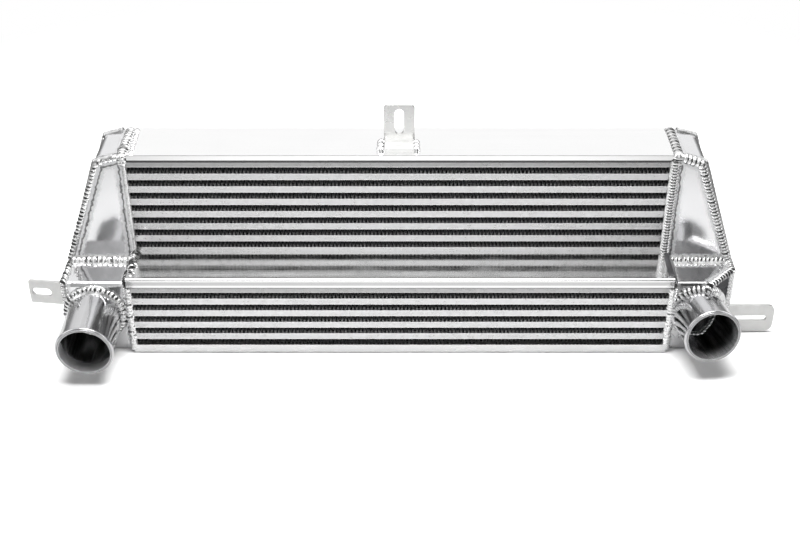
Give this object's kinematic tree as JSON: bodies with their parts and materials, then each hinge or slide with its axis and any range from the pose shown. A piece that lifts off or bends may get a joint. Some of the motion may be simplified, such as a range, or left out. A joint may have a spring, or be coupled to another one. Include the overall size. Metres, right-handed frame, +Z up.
{
  "type": "intercooler",
  "caption": "Stepped bar-and-plate intercooler core between two welded aluminium end tanks, each with a straight hose pipe, and slotted mounting brackets.",
  "frame": {"origin": "centre of the underside of the core's bottom plate", "axes": "+X across the core from the left tank to the right tank, -Y out of the front where the hose pipes point, +Z up"},
  "size_m": [0.7095, 0.1543, 0.226],
  "materials": {
    "bracket_sheet": "satin",
    "closure_bar": "brushed bar",
    "core_plate": "fine brushed",
    "fin_stock": "plain rolled sheet",
    "parting_sheet": "plain rolled sheet",
    "pipe_tube": "polished",
    "tank_sheet": "polished",
    "turbulator_stock": "plain rolled sheet",
    "weld_metal": "bright as-welded bead"
  },
  "bodies": {
    "root": {"air_fin_row_01": "fin_stock", "air_fin_row_02": "fin_stock", "air_fin_row_03": "fin_stock", "air_fin_row_04": "fin_stock", "air_fin_row_05": "fin_stock", "air_fin_row_06": "fin_stock", "air_fin_row_07": "fin_stock", "air_fin_row_08": "fin_stock", "air_fin_row_09": "fin_stock", "air_fin_row_10": "fin_stock", "air_fin_row_11": "fin_stock", "air_fin_row_12": "fin_stock", "air_fin_row_13": "fin_stock", "core_bottom_plate": "core_plate", "core_ledge_plate": "core_plate", "core_top_plate": "core_plate", "front_bars_lower": "closure_bar", "front_bars_upper": "closure_bar", "left_bracket_welds": "weld_metal", "left_header_bars_lower": "closure_bar", "left_header_bars_upper": "closure_bar", "left_hose_pipe": "pipe_tube", "left_pipe_weld": "weld_metal", "left_side_bracket": "bracket_sheet", "left_tank_bottom_plate": "tank_sheet", "left_tank_core_welds": "weld_metal", "left_tank_corner_welds": "weld_metal", "left_tank_ledge_and_front": "tank_sheet", "left_tank_ledge_weld": "weld_metal", "left_tank_rear_plate": "tank_sheet", "left_tank_shell": "tank_sheet", "left_tank_upper_front": "tank_sheet", "parting_sheets_lower": "parting_sheet", "parting_sheets_upper": "parting_sheet", "rear_bars": "closure_bar", "right_bracket_welds": "weld_metal", "right_header_bars_lower": "closure_bar", "right_header_bars_upper": "closure_bar", "right_hose_pipe": "pipe_tube", "right_pipe_weld": "weld_metal", "right_side_bracket": "bracket_sheet", "right_tank_bottom_plate": "tank_sheet", "right_tank_core_welds": "weld_metal", "right_tank_corner_plate": "tank_sheet", "right_tank_corner_welds": "weld_metal", "right_tank_ledge_and_front": "tank_sheet", "right_tank_ledge_weld": "weld_metal", "right_tank_rear_plate": "tank_sheet", "right_tank_shell": "tank_sheet", "right_tank_upper_front": "tank_sheet", "top_bracket": "bracket_sheet", "top_bracket_welds": "weld_metal", "turbulators_lower": "turbulator_stock", "turbulators_upper": "turbulator_stock"}
  },
  "joints": []
}
